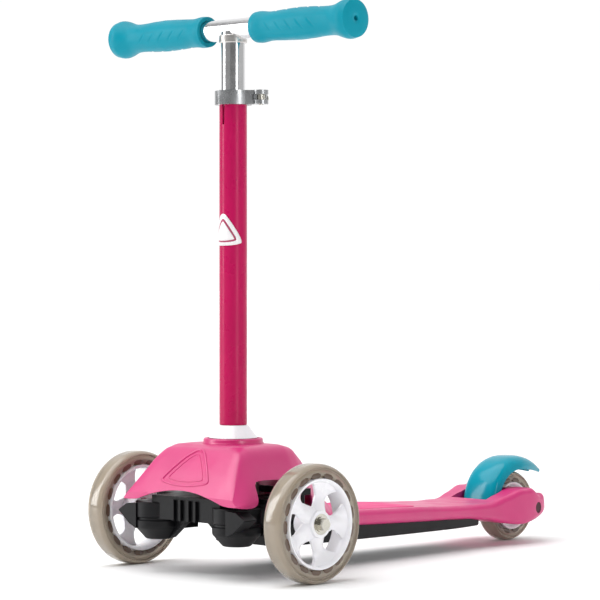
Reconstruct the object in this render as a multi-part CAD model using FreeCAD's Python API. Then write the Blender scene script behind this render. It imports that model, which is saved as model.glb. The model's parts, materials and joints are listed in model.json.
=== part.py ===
import FreeCAD, Part
import math
import os

# A child's three-wheeled kick scooter that steers by leaning its column.
# Millimetres. +Z is up, -Y is forward, +X is the rider's left. The origin is on the
# ground, midway between the axles.

V = FreeCAD.Vector
os.makedirs("parts", exist_ok=True)

# ---- Driving dimensions -------------------------------------------------------------
WHEELBASE = 460.0
FRONT_Y = -WHEELBASE / 2
REAR_Y = WHEELBASE / 2
FRONT_TRACK = 260.0

FRONT_WHEEL = {"r": 60.0, "width": 26.0, "hub_r": 45.7, "core_r": 51.5, "wall_r": 54.8, "windows": 17, "spokes": 5}
REAR_WHEEL = {"r": 40.0, "width": 24.0, "hub_r": 27.5, "core_r": 33.0, "wall_r": 35.5, "windows": 12, "spokes": 5}
TREAD_INSET = 1.0
WALL_INSET = 1.2
BEARING_R = 11.0
BEARING_WIDTH = 7.0
AXLE_R = 4.0
RUNNING_GAP = 0.05

COLUMN_Y = FRONT_Y + 18.0
COLUMN_R = 14.3
COLUMN_BORE_R = 12.6
COLUMN_Z = (152.0, 493.0)
PIVOT_Z = 139.0
LEVER_DROP = 52.0

STEM_R = 12.5
STEM_Z = (313.0, 560.0)
BAR_R = 11.0
BAR_Z = 560.0
BAR_HALF = 168.0
GRIP_X = (37.0, 173.5)

KINGPIN_X = 82.0
KINGPIN_R = 5.0
KNUCKLE_ARM = 35.0
ARM_PIN_R = 3.0

CLAMP_Z = (482.0, 496.5)
CLAMP_R = 19.0
CLAMP_ANGLE = 40.0

FENDER_PIVOT = (REAR_Y - 55.0, 47.5)
WALL = 3.0


# ---- Small tools --------------------------------------------------------------------
def cylinder(radius, start, end):
    """A round bar from one point to another."""
    axis = V(*end) - V(*start)
    return Part.makeCylinder(radius, axis.Length, V(*start), axis)


def block(x, y, z):
    """A box between (low, high) pairs on each axis."""
    return Part.makeBox(x[1] - x[0], y[1] - y[0], z[1] - z[0], V(x[0], y[0], z[0]))


def join(shapes):
    """All shapes as one solid, with the seams between them removed."""
    result = shapes[0]
    if len(shapes) > 1:
        result = result.fuse(shapes[1:])
    return result.removeSplitter()


def cut(shape, tools):
    """The shape with every tool taken away."""
    return shape.cut(Part.makeCompound(tools))


def mirrored(shape):
    """The same shape on the other side of the centre plane."""
    return shape.mirror(V(0, 0, 0), V(1, 0, 0))


def outline(corners, place):
    """A closed wire through (a, b, radius) corners; radius 0 keeps a corner sharp."""
    count = len(corners)
    ends = []
    for i, (a, b, radius) in enumerate(corners):
        here = V(a, b, 0)
        if radius == 0:
            ends.append((here, None, here))
            continue
        back = V(*corners[i - 1][:2], 0) - here
        ahead = V(*corners[(i + 1) % count][:2], 0) - here
        back.normalize()
        ahead.normalize()
        half = back.getAngle(ahead) / 2
        middle = back + ahead
        middle.normalize()
        centre = here + middle * (radius / math.sin(half))
        reach = radius / math.tan(half)
        ends.append((here + back * reach, centre - middle * radius, here + ahead * reach))
    edges = []
    for i, (start, middle, end) in enumerate(ends):
        if middle is not None:
            points = [V(*place(p.x, p.y)) for p in (start, middle, end)]
            edges.append(Part.Arc(*points).toShape())
        following = ends[(i + 1) % count][0]
        if end.distanceToPoint(following) > 1e-6:
            edges.append(Part.LineSegment(V(*place(end.x, end.y)), V(*place(following.x, following.y))).toShape())
    return Part.Wire(edges)


def turned(corners, centre, axis):
    """A solid of revolution of (radius, along, corner radius) points about an axis."""
    if axis == "x":
        wire = outline(corners, lambda r, a: (centre[0] + a, centre[1] + r, centre[2]))
        direction = V(1, 0, 0)
    else:
        wire = outline(corners, lambda r, a: (centre[0] + r, centre[1], centre[2] + a))
        direction = V(0, 0, 1)
    return Part.Face(wire).revolve(V(*centre), direction, 360)


def plate(corners, low, high):
    """A flat plate with its outline in plan, from one height to another."""
    face = Part.Face(outline(corners, lambda a, b: (a, b, low)))
    return face.extrude(V(0, 0, high - low))


def section(y, half_width, low, high, corner):
    """One rounded rectangular cross-section of the deck, standing at y."""
    corners = [(-half_width, low, corner), (half_width, low, corner)]
    corners += [(half_width, high, corner), (-half_width, high, corner)]
    return outline(corners, lambda a, b: (a, y, b))


def lofted(wires, ruled=False):
    """A solid skin through the wires in order."""
    return Part.makeLoft(wires, True, ruled)


def spaced(stations, step):
    """The stations filled in at even distances, so that the skin through them stays smooth."""
    first, last = stations[0][0], stations[-1][0]
    count = round((last - first) / step)
    filled = []
    for i in range(count + 1):
        y = first + (last - first) * i / count
        after = next(k for k in range(1, len(stations)) if y <= stations[k][0] + 1e-6)
        low, high = stations[after - 1], stations[after]
        share = (y - low[0]) / (high[0] - low[0])
        filled.append([a + (b - a) * share for a, b in zip(low, high)])
    return filled


def save(node, shape):
    shape.exportStep("parts/" + node + ".step")


# ---- Wheels -------------------------------------------------------------------------
def tyre(size, centre):
    """Cast tyre: flat side walls sunk below the hub's lip, a round tread and a channel for the key ring."""
    tread = size["width"] / 2 - TREAD_INSET
    wall = tread - WALL_INSET
    rim_r, wall_r, crown_r = size["hub_r"], size["wall_r"], size["r"]
    side = [(rim_r, wall, 0), (wall_r, wall, 0.5), (wall_r + 0.9, tread, 0.5),
            (crown_r - 1.6, tread - 1.5, 1.5), (crown_r, tread - 5.5, 3)]
    ring = turned([(r, -along, bend) for r, along, bend in side] + side[::-1], centre, "x")
    channel = turned([(size["hub_r"], -7, 0), (size["core_r"], -7, 0), (size["core_r"], 7, 0),
                      (size["hub_r"], 7, 0)], centre, "x")
    return ring.cut(channel)


def key_ring(size, centre):
    """The ring in the tyre's channel, with a row of square windows."""
    ring = turned([(size["hub_r"], -7, 0), (size["core_r"], -7, 0), (size["core_r"], 7, 0),
                   (size["hub_r"], 7, 0)], centre, "x")
    pitch = 360.0 / size["windows"]
    middle = (size["hub_r"] + size["core_r"]) / 2
    opening = 0.72 * 2 * math.pi * middle / size["windows"]
    tools = []
    for i in range(size["windows"]):
        window = block((-8, 8), (-opening / 2, opening / 2), (size["hub_r"] + 1, size["core_r"] - 1.2))
        window.rotate(V(0, 0, 0), V(1, 0, 0), i * pitch)
        window.translate(V(*centre))
        tools.append(window)
    return cut(ring, tools)


def hub(size, centre, turn):
    """Moulded hub: rim, boss with two bearing seats, and spokes, the first turned from upright."""
    half = size["width"] / 2 - 0.5
    rim_r = size["hub_r"] - 3.5
    rim = turned([(rim_r, -half, 0), (size["hub_r"], -half, 0), (size["hub_r"], half, 0),
                  (rim_r, half, 0)], centre, "x")
    boss_r = BEARING_R + 3.0
    boss = turned([(BEARING_R - 4, -half, 0), (boss_r, -half, 1), (boss_r, half, 1),
                   (BEARING_R - 4, half, 0)], centre, "x")
    pieces = [rim, boss]
    for i in range(size["spokes"]):
        spoke = block((-5, 5), (-5, 5), (boss_r - 1, rim_r + 1))
        spoke = spoke.fuse(block((-2, 2), (-9, 9), (boss_r - 1, rim_r + 1)))
        spoke.rotate(V(0, 0, 0), V(1, 0, 0), turn + i * 360.0 / size["spokes"])
        spoke.translate(V(*centre))
        inside = cylinder(rim_r + 1, (centre[0] - 6, centre[1], centre[2]), (centre[0] + 6, centre[1], centre[2]))
        pieces.append(spoke.common(inside))
    body = join(pieces)
    seats = []
    for side in (-1, 1):
        outer = centre[0] + side * half
        inner = centre[0] + side * (half - BEARING_WIDTH)
        seats.append(cylinder(BEARING_R, (inner, centre[1], centre[2]), (outer, centre[1], centre[2])))
    return cut(body, seats)


def bearings(size, centre):
    """Two sealed ball bearings, pressed into the two ends of the boss."""
    half = size["width"] / 2 - 0.5
    rings = []
    for side in (-1, 1):
        low, high = sorted((side * half, side * (half - BEARING_WIDTH)))
        rings.append(turned([(AXLE_R + RUNNING_GAP, low, 0), (BEARING_R, low, 0.5), (BEARING_R, high, 0.5),
                             (AXLE_R + RUNNING_GAP, high, 0)], centre, "x"))
    return Part.makeCompound(rings)


def save_wheel(name, size, centre, turn):
    save(name + "_tyre", tyre(size, centre))
    save(name + "_key_ring", key_ring(size, centre))
    save(name + "_hub", hub(size, centre, turn))
    save(name + "_bearings", bearings(size, centre))


save_wheel("front_left", FRONT_WHEEL, (FRONT_TRACK / 2, FRONT_Y, FRONT_WHEEL["r"]), -90)
save_wheel("front_right", FRONT_WHEEL, (-FRONT_TRACK / 2, FRONT_Y, FRONT_WHEEL["r"]), -54)
save_wheel("rear", REAR_WHEEL, (0, REAR_Y, REAR_WHEEL["r"]), 0)


# ---- Steering knuckles --------------------------------------------------------------
KNUCKLE_Z = (52.3, 75.7)
KNUCKLE_BARREL_R = 9.0
STUB_R = 7.5
STUB_END_X = 114.0
ARM_Z = (68.0, 74.0)
ARM_PIN_TOP = 91.0
FRONT_AXLE_Z = FRONT_WHEEL["r"]
WHEEL_INNER_X = FRONT_TRACK / 2 - FRONT_WHEEL["width"] / 2 + 0.5
WHEEL_OUTER_X = FRONT_TRACK / 2 + FRONT_WHEEL["width"] / 2 - 0.5
FACE_GAP = 0.3


def knuckle():
    """Left knuckle: a barrel on the kingpin, a stub for the axle and a steering arm."""
    barrel = cylinder(KNUCKLE_BARREL_R, (KINGPIN_X, FRONT_Y, KNUCKLE_Z[0]), (KINGPIN_X, FRONT_Y, KNUCKLE_Z[1]))
    stub = cylinder(STUB_R, (KINGPIN_X, FRONT_Y, FRONT_AXLE_Z), (STUB_END_X, FRONT_Y, FRONT_AXLE_Z))
    arm = block((KINGPIN_X - 5, KINGPIN_X + 5), (FRONT_Y, FRONT_Y + KNUCKLE_ARM + 5), ARM_Z)
    arm_pin = cylinder(ARM_PIN_R, (KINGPIN_X, FRONT_Y + KNUCKLE_ARM, ARM_Z[1] - 1),
                       (KINGPIN_X, FRONT_Y + KNUCKLE_ARM, ARM_PIN_TOP))
    body = join([barrel, stub, arm, arm_pin])
    bore = cylinder(KINGPIN_R + RUNNING_GAP, (KINGPIN_X, FRONT_Y, 40), (KINGPIN_X, FRONT_Y, 95))
    socket = cylinder(AXLE_R, (KINGPIN_X + 12, FRONT_Y, FRONT_AXLE_Z), (STUB_END_X + 1, FRONT_Y, FRONT_AXLE_Z))
    return cut(body, [bore, socket])


def front_axle():
    """Left axle bolt, screwed into the stub, with its spacer collar and its cap nut."""
    shank = cylinder(AXLE_R, (KINGPIN_X + 12, FRONT_Y, FRONT_AXLE_Z), (WHEEL_OUTER_X + 5, FRONT_Y, FRONT_AXLE_Z))
    collar = cylinder(6.5, (STUB_END_X, FRONT_Y, FRONT_AXLE_Z), (WHEEL_INNER_X - FACE_GAP, FRONT_Y, FRONT_AXLE_Z))
    return join([shank, collar])


def axle_nut():
    """Left hexagon nut with a flange, on the outer end of the axle bolt."""
    start = WHEEL_OUTER_X + FACE_GAP
    flange = cylinder(7.5, (start, FRONT_Y, FRONT_AXLE_Z), (start + 1.2, FRONT_Y, FRONT_AXLE_Z))
    hexagon = []
    for i in range(6):
        angle = math.radians(60 * i)
        hexagon.append((6.5 * math.cos(angle), 6.5 * math.sin(angle), 0))
    wire = outline(hexagon, lambda a, b: (start + 1.2, FRONT_Y + a, FRONT_AXLE_Z + b))
    body = join([flange, Part.Face(wire).extrude(V(5.5, 0, 0))])
    return body.cut(cylinder(AXLE_R, (start - 1, FRONT_Y, FRONT_AXLE_Z), (WHEEL_OUTER_X + 5, FRONT_Y, FRONT_AXLE_Z)))


for side, name in ((1, "left"), (-1, "right")):
    for part_name, shape in (("knuckle_", knuckle()), ("front_axle_", front_axle()), ("axle_nut_", axle_nut())):
        save(part_name + name, shape if side > 0 else mirrored(shape))


# ---- Tie rod ------------------------------------------------------------------------
ROD_Z = (83.5, 90.0)
BALL_R = 4.0
BALL_SLOT_R = 4.3


def tie_rod():
    """Bar that joins both steering arms, with a socket in the middle for the column's lever."""
    y = FRONT_Y + KNUCKLE_ARM
    bar = block((-KINGPIN_X, KINGPIN_X), (y - 3, y + 3), ROD_Z)
    pieces = [bar, block((-9, 9), (COLUMN_Y - 9, y), ROD_Z)]
    tools = [cylinder(BALL_SLOT_R, (0, COLUMN_Y, ROD_Z[0] - 1), (0, COLUMN_Y, ROD_Z[1] + 1))]
    for side in (-1, 1):
        x = side * KINGPIN_X
        pieces.append(block((x - 6, x + 6), (y - 8, y + 7), ROD_Z))
        half = ARM_PIN_R + FACE_GAP
        tools.append(block((x - half, x + half), (y - 6, y + 4), (ROD_Z[0] - 1, ROD_Z[1] + 1)))
    return cut(join(pieces), tools)


save("tie_rod", tie_rod())


# ---- Column -------------------------------------------------------------------------
SLOT_DEPTH = 30.0
SLOT_HALF = 1.5
COLLAR_TOP_R = 15.5
COLLAR_LOW_R = 25.0
COLLAR_WALL = 2.5
LEAN_BLOCK = {"x": 11.0, "y": 9.0, "low": 122.0}
WING_X = 27.0
WING_Z = (118.0, 123.0)
PIN_R = 4.0


def column_tube():
    """Tube with a slot at its top that lets the clamp close it on the stem."""
    tube = turned([(COLUMN_BORE_R, COLUMN_Z[0], 0), (COLUMN_R, COLUMN_Z[0], 1.5), (COLUMN_R, COLUMN_Z[1], 0),
                   (COLUMN_BORE_R, COLUMN_Z[1], 0)], (0, COLUMN_Y, 0), "z")
    slot_low = COLUMN_Z[1] - SLOT_DEPTH
    slot = block((-SLOT_HALF, SLOT_HALF), (COLUMN_Y - COLUMN_R - 2, COLUMN_Y), (slot_low, COLUMN_Z[1] + 1))
    slot_end = cylinder(SLOT_HALF, (0, COLUMN_Y - COLUMN_R - 2, slot_low), (0, COLUMN_Y, slot_low))
    return cut(tube, [slot, slot_end])


def column_badge():
    """Blank rounded-triangle label wrapped on the front of the column."""
    skin = turned([(COLUMN_R, 338, 0), (COLUMN_R + 0.4, 338, 0), (COLUMN_R + 0.4, 368, 0),
                   (COLUMN_R, 368, 0)], (0, COLUMN_Y, 0), "z")
    corners = [(-17, 338.5, 5), (17, 338.5, 5), (4, 367.5, 4), (-4, 367.5, 4)]
    wire = outline(corners, lambda a, b: (a, COLUMN_Y - COLUMN_R - 5, b))
    return skin.common(Part.Face(wire).extrude(V(0, COLUMN_R + 5, 0)))


def collar():
    """White cone that covers the opening in the front cover as the column leans."""
    corners = [(COLUMN_BORE_R, 149.5, 0), (COLLAR_TOP_R - 1, 149.5, 0), (COLLAR_LOW_R - COLLAR_WALL, PIVOT_Z, 0),
               (COLLAR_LOW_R, PIVOT_Z, 0), (COLLAR_TOP_R, COLUMN_Z[0], 2), (COLUMN_BORE_R, COLUMN_Z[0], 0)]
    return turned(corners, (0, COLUMN_Y, 0), "z")


def lean_head():
    """Plug in the foot of the tube, with the pivot bore and the steering lever under it."""
    body = block((-LEAN_BLOCK["x"], LEAN_BLOCK["x"]), (COLUMN_Y - LEAN_BLOCK["y"], COLUMN_Y + LEAN_BLOCK["y"]),
                 (LEAN_BLOCK["low"], 149.5))
    body = body.common(cylinder(COLUMN_BORE_R, (0, COLUMN_Y, 120), (0, COLUMN_Y, 160)))
    tip = PIVOT_Z - LEVER_DROP
    shank = cylinder(4.5, (0, COLUMN_Y, 94), (0, COLUMN_Y, LEAN_BLOCK["low"] + 1))
    neck = cylinder(3.0, (0, COLUMN_Y, tip), (0, COLUMN_Y, 95))
    wings = block((-WING_X, WING_X), (COLUMN_Y - 6, COLUMN_Y + 6), WING_Z)
    ball = Part.makeSphere(BALL_R, V(0, COLUMN_Y, tip))
    upper = cylinder(COLUMN_BORE_R, (0, COLUMN_Y, 149.5), (0, COLUMN_Y, 176))
    whole = join([body, upper, wings, shank, neck, ball])
    bore = cylinder(PIN_R + RUNNING_GAP, (0, COLUMN_Y - 20, PIVOT_Z), (0, COLUMN_Y + 20, PIVOT_Z))
    return whole.cut(bore)


save("column_tube", column_tube())
save("column_badge", column_badge())
save("collar", collar())
save("lean_head", lean_head())


# ---- Handlebar ----------------------------------------------------------------------
TUBE_WALL = 2.0


def stem_tube():
    """Telescopic stem, shaped at its top to sit against the crossbar."""
    tube = turned([(STEM_R - TUBE_WALL, STEM_Z[0], 0), (STEM_R, STEM_Z[0], 0.5), (STEM_R, STEM_Z[1] - 2, 0),
                   (STEM_R - TUBE_WALL, STEM_Z[1] - 2, 0)], (0, COLUMN_Y, 0), "z")
    return tube.cut(cylinder(BAR_R, (-30, COLUMN_Y, BAR_Z), (30, COLUMN_Y, BAR_Z)))


def crossbar():
    return turned([(BAR_R - TUBE_WALL, -BAR_HALF, 0), (BAR_R, -BAR_HALF, 0), (BAR_R, BAR_HALF, 0),
                   (BAR_R - TUBE_WALL, BAR_HALF, 0)], (0, COLUMN_Y, BAR_Z), "x")


def weld_bead():
    """Bead round the joint of the stem and the crossbar."""
    low = BAR_Z - BAR_R - 3
    ring = turned([(STEM_R, low, 0), (STEM_R + 2, low, 0.9), (STEM_R + 2, low + 8, 0.9), (STEM_R, low + 8, 0)],
                  (0, COLUMN_Y, 0), "z")
    return ring.cut(cylinder(BAR_R, (-30, COLUMN_Y, BAR_Z), (30, COLUMN_Y, BAR_Z)))


def grip():
    """Left grip: inner flange, waisted middle, ball end with a small vent."""
    start, end = GRIP_X
    corners = [(BAR_R, start, 0), (16.3, start, 2.5), (16.3, start + 8, 2), (14.8, start + 16, 6),
               (16.4, start + 62, 20), (14.8, start + 99, 8), (15.2, start + 112, 5), (20.5, start + 122, 5),
               (20.5, end, 9), (2.5, end, 0), (2.5, BAR_HALF, 0), (BAR_R, BAR_HALF, 0)]
    return turned(corners, (0, COLUMN_Y, BAR_Z), "x")


def stem_bush():
    """Plastic plug in the foot of the stem."""
    return cylinder(STEM_R - TUBE_WALL, (0, COLUMN_Y, STEM_Z[0] - 3), (0, COLUMN_Y, STEM_Z[0] + 15))


save("stem_tube", stem_tube())
save("crossbar", crossbar())
save("weld_bead", weld_bead())
save("grip_left", grip())
save("grip_right", mirrored(grip()))
save("stem_plug", stem_bush())


# ---- Height clamp -------------------------------------------------------------------
# The clamp is drawn with its ears towards +X and its lever on the -Y side, then turned
# round the column to where it sits.
EAR_X = 35.0
EAR_HALF = 7.0
BOLT_X = 30.0
BOLT_R = 2.5
LEVER_PIVOT_Y = -15.3
LEVER_R = (20.0, 23.0)
CAM_R = 7.8
CLAMP_MID = (CLAMP_Z[0] + CLAMP_Z[1]) / 2
FORK_HALF = 2.9


def placed(shape):
    """A clamp piece moved from the drawing position onto the column."""
    shape.translate(V(0, COLUMN_Y, 0))
    shape.rotate(V(0, COLUMN_Y, 0), V(0, 0, 1), CLAMP_ANGLE)
    return shape


def clamp_ring():
    """Split ring with a lip over the tube's end and two ears for the bolt."""
    ring = cylinder(CLAMP_R, (0, 0, CLAMP_Z[0]), (0, 0, CLAMP_Z[1]))
    ears = block((10, EAR_X), (-EAR_HALF, EAR_HALF), (CLAMP_Z[0] + 1, CLAMP_Z[1] - 1))
    body = join([ring, ears])
    tools = [cylinder(COLUMN_R, (0, 0, CLAMP_Z[0] - 1), (0, 0, COLUMN_Z[1])),
             cylinder(COLUMN_BORE_R, (0, 0, CLAMP_Z[0] - 1), (0, 0, CLAMP_Z[1] + 1)),
             block((5, EAR_X + 1), (-1.5, 1.5), (CLAMP_Z[0] - 1, CLAMP_Z[1] + 1)),
             cylinder(BOLT_R, (BOLT_X, -EAR_HALF - 1, CLAMP_MID), (BOLT_X, EAR_HALF + 1, CLAMP_MID))]
    return placed(cut(body, tools))


def clamp_bolt():
    """Bolt through both ears, ending in the barrel that the lever turns on."""
    shank = cylinder(BOLT_R, (BOLT_X, LEVER_PIVOT_Y, CLAMP_MID), (BOLT_X, EAR_HALF + 7, CLAMP_MID))
    barrel = cylinder(4.0, (BOLT_X, LEVER_PIVOT_Y, CLAMP_MID - FORK_HALF + FACE_GAP),
                      (BOLT_X, LEVER_PIVOT_Y, CLAMP_MID + FORK_HALF - FACE_GAP))
    pin = cylinder(2.0, (BOLT_X, LEVER_PIVOT_Y, CLAMP_Z[0] - 0.8), (BOLT_X, LEVER_PIVOT_Y, CLAMP_Z[1] + 0.5))
    return placed(join([shank, barrel, pin]))


def clamp_nut():
    nut = cylinder(6.0, (BOLT_X, EAR_HALF, CLAMP_MID), (BOLT_X, EAR_HALF + 5.5, CLAMP_MID))
    return placed(nut.cut(cylinder(BOLT_R, (BOLT_X, EAR_HALF - 1, CLAMP_MID), (BOLT_X, EAR_HALF + 7, CLAMP_MID))))


def clamp_lever():
    """Curved lever that follows the ring, with a fork and cam lobes at its pivot."""
    shell = cylinder(LEVER_R[1], (0, 0, CLAMP_Z[0]), (0, 0, CLAMP_Z[1]))
    shell = shell.cut(cylinder(LEVER_R[0], (0, 0, CLAMP_Z[0] - 1), (0, 0, CLAMP_Z[1] + 1)))
    reach = 60.0
    limits = [math.radians(a) for a in (-45, -85, -125)]
    sector = [(0, 0, 0)] + [(reach * math.cos(a), reach * math.sin(a), 0) for a in limits]
    arc = shell.common(plate(sector, CLAMP_Z[0], CLAMP_Z[1]))
    bar = block((13.6, BOLT_X), (-18.0, -14.0), CLAMP_Z)
    lobe = cylinder(CAM_R, (BOLT_X, LEVER_PIVOT_Y, CLAMP_Z[0]), (BOLT_X, LEVER_PIVOT_Y, CLAMP_Z[1]))
    body = join([arc, bar, lobe])
    tools = [cylinder(CAM_R + 1, (BOLT_X, LEVER_PIVOT_Y, CLAMP_MID - FORK_HALF),
                      (BOLT_X, LEVER_PIVOT_Y, CLAMP_MID + FORK_HALF)),
             cylinder(2.0 + RUNNING_GAP, (BOLT_X, LEVER_PIVOT_Y, 470), (BOLT_X, LEVER_PIVOT_Y, 510))]
    return placed(cut(body, tools))


save("clamp_ring", clamp_ring())
save("clamp_bolt", clamp_bolt())
save("clamp_nut", clamp_nut())
save("clamp_lever", clamp_lever())


# ---- Front truck --------------------------------------------------------------------
BEAM_Z = (57.0, 81.0)
BEAM_X = 50.0
LUG_LOW_Z = (44.0, 52.0)
LUG_HIGH_Z = (76.0, 81.0)
LUG_R = 10.0


RIB_X = (-16, -6, 6, 16)
LOBE_X = 57.0
LOBE_Y = FRONT_Y - 33.0
LOBE = [(0, 73.5, 0), (25, 73.5, 1), (25, 58, 0), (23.5, 57, 0), (23.5, 55, 0), (25, 54, 0), (25, 47, 5),
        (14, 34.5, 4), (0, 34.5, 0)]
LOBE_FIN = [(66, 72, 0), (80, 71, 2), (93, 63.5, 1), (76, 50, 4), (66, 46, 0)]
LOBE_GUSSET = [(50, 35, 0), (50, 70, 0), (12, 70, 0), (12, 58, 0), (40, 36, 2)]


def side_plate(corners, near, far):
    """A plate with its outline seen from the front, from one distance to another."""
    face = Part.Face(outline(corners, lambda a, b: (a, near, b)))
    return face.extrude(V(0, far - near, 0))


def truck_housing():
    """Black moulding that carries the kingpins and guards the knuckles from the front."""
    beam = block((-BEAM_X, BEAM_X), (FRONT_Y - 50, FRONT_Y + 46), BEAM_Z)
    pieces = [beam]
    for x in RIB_X:
        pieces.append(block((x - 1.5, x + 1.5), (FRONT_Y - 53, FRONT_Y - 50), (BEAM_Z[0], 78)))
    for side in (-1, 1):
        pieces.append(turned(LOBE, (side * LOBE_X, LOBE_Y, 0), "z"))
        pieces.append(side_plate([(a * side, b, r) for a, b, r in LOBE_FIN], FRONT_Y - 58, FRONT_Y - 40))
        pieces.append(side_plate([(a * side, b, r) for a, b, r in LOBE_GUSSET], FRONT_Y - 34, FRONT_Y - 26))
        x = side * KINGPIN_X
        for low, high in (LUG_LOW_Z, LUG_HIGH_Z):
            near, far = sorted((side * 44, x))
            pieces.append(block((near, far), (FRONT_Y - LUG_R, FRONT_Y + LUG_R), (low, high)))
            pieces.append(cylinder(LUG_R, (x, FRONT_Y, low), (x, FRONT_Y, high)))
        near, far = sorted((side * 44, side * 66))
        pieces.append(block((near, far), (FRONT_Y - 20, FRONT_Y + LUG_R), (LUG_LOW_Z[0], LUG_HIGH_Z[1])))
    body = join(pieces)
    bores = [cylinder(KINGPIN_R, (side * KINGPIN_X, FRONT_Y, 40), (side * KINGPIN_X, FRONT_Y, 95))
             for side in (-1, 1)]
    return cut(body, bores)


def kingpin():
    """Left kingpin, with a flat head under the lower lug."""
    shank = cylinder(KINGPIN_R, (KINGPIN_X, FRONT_Y, LUG_LOW_Z[0]), (KINGPIN_X, FRONT_Y, LUG_HIGH_Z[1]))
    head = cylinder(KINGPIN_R + 3, (KINGPIN_X, FRONT_Y, LUG_LOW_Z[0] - 3), (KINGPIN_X, FRONT_Y, LUG_LOW_Z[0]))
    return join([shank, head])


PIVOT_HEAD_R = 5.5
POST_FRONT_Y = (FRONT_Y + 5, FRONT_Y + 8)
POST_REAR_Y = (FRONT_Y + 28, FRONT_Y + 31)
REAR_LEG_Y = (FRONT_Y + 40, FRONT_Y + 44)
REAR_STEP_Z = (108.0, 112.0)
BRACKET_Z = (BEAM_Z[1], BEAM_Z[1] + 2)
SHELF_Z = (93.5, 96.5)
SPRING_X = 21.0
SPRING_R = 4.4
SPRING_WIRE_R = 1.0


def pivot_bracket():
    """Steel bracket that holds the pivot pin and the seats of the centring springs."""
    y = FRONT_Y
    across = (-PIVOT_HEAD_R, PIVOT_HEAD_R)
    pieces = [block((-31, 31), (y + 4, REAR_LEG_Y[1]), BRACKET_Z),
              block(across, REAR_LEG_Y, (BRACKET_Z[0], REAR_STEP_Z[1])),
              block(across, (POST_REAR_Y[0], REAR_LEG_Y[1]), REAR_STEP_Z)]
    for post, foot in ((POST_FRONT_Y, BRACKET_Z[0]), (POST_REAR_Y, REAR_STEP_Z[0])):
        pieces.append(block(across, post, (foot, PIVOT_Z)))
        pieces.append(cylinder(PIVOT_HEAD_R, (0, post[0], PIVOT_Z), (0, post[1], PIVOT_Z)))
    for side in (-1, 1):
        near, far = sorted((side * 15, side * 31))
        pieces.append(block((near, far), (y + 11, y + 25), SHELF_Z))
        near, far = sorted((side * 28, side * 31))
        pieces.append(block((near, far), (y + 11, y + 25), (BRACKET_Z[0], SHELF_Z[1])))
    bore = cylinder(PIN_R, (0, y, PIVOT_Z), (0, y + 60, PIVOT_Z))
    return join(pieces).cut(bore)


def pivot_pin():
    start, end = POST_FRONT_Y[0], POST_REAR_Y[1]
    shank = cylinder(PIN_R, (0, start, PIVOT_Z), (0, end, PIVOT_Z))
    head = cylinder(PIN_R + 1.5, (0, start - 2, PIVOT_Z), (0, start, PIVOT_Z))
    return join([shank, head])


def centring_spring(x):
    """Coil spring that stands on the bracket's shelf under one wing of the lean head."""
    low = SHELF_Z[1] + SPRING_WIRE_R
    high = WING_Z[0] - SPRING_WIRE_R
    height = high - low
    helix = Part.makeHelix(height / 7, height, SPRING_R)
    circle = Part.Wire(Part.makeCircle(SPRING_WIRE_R, V(SPRING_R, 0, 0), V(0, 1, 0)))
    coil = Part.Wire(helix).makePipeShell([circle], True, True)
    coil.translate(V(x, COLUMN_Y, low))
    return coil


save("truck_housing", truck_housing())
save("kingpins", Part.makeCompound([kingpin(), mirrored(kingpin())]))
save("pivot_bracket", pivot_bracket())
save("pivot_pin", pivot_pin())
save("centring_spring_left", centring_spring(SPRING_X))
save("centring_spring_right", centring_spring(-SPRING_X))


# ---- Deck ---------------------------------------------------------------------------
# Stations from front to rear: distance behind the front axle, half width, underside and top.
DECK_STATIONS = [(60, 54, 43.5, 59), (124, 55, 43, 59), (210, 52, 39.5, 56), (260, 49.5, 37.5, 54),
                 (310, 46.5, 36, 51.2), (350, 44.5, 34, 49.6), (385, 45, 29.5, 50), (400, 46.5, 26.5, 53.5),
                 (415, 49, 24, 58.5), (430, 51, 22.5, 62.5), (442, 51.5, 23.5, 63.5), (455, 50.5, 26, 60),
                 (468, 47.5, 29.5, 54), (480, 42, 33, 47)]
BASE_STATIONS = [(40, 49, 27, 47), (120, 50, 26.5, 47), (210, 47, 25.5, 45.5), (300, 42.5, 24.7, 42.5),
                 (350, 39, 24.5, 39.5), (368, 37, 25, 37.5)]
DECK_CORNER = 6.0
WHEEL_SLOT_HALF = 15.5
PAD_THICK = 3.5
PAD_FRONT = (FRONT_Y + 124, 59.3)
PAD_LENGTH = 138.0
PAD_HALF = (44, 40)
PAD_SLOPE = 2.0


def deck_top():
    """Pink deck moulding, hollow underneath, ending in the two arms of the rear fork."""
    skin = lofted([section(FRONT_Y + y, w, low, high, DECK_CORNER) for y, w, low, high in spaced(DECK_STATIONS, 12)])
    cavity = lofted([section(FRONT_Y + y, w + 0.5, low - 15, high + 0.5, 3)
                     for y, w, low, high in spaced(BASE_STATIONS, 40)])
    wheel_slot = block((-WHEEL_SLOT_HALF, WHEEL_SLOT_HALF), (REAR_Y - 47, REAR_Y + 60), (10, 80))
    pocket = block((-26, 26), (REAR_Y - 66, REAR_Y - 26), (39.5, 80))
    axle = cylinder(AXLE_R, (-60, REAR_Y, REAR_WHEEL["r"]), (60, REAR_Y, REAR_WHEEL["r"]))
    pin = cylinder(3.0, (-32, *FENDER_PIVOT), (32, *FENDER_PIVOT))
    recesses = [cylinder(6.5, (side * 44, REAR_Y, REAR_WHEEL["r"]), (side * 60, REAR_Y, REAR_WHEEL["r"]))
                for side in (-1, 1)]
    seat = pad_plate(10)
    return cut(skin, [cavity, wheel_slot, pocket, axle, pin, seat] + recesses)


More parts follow.
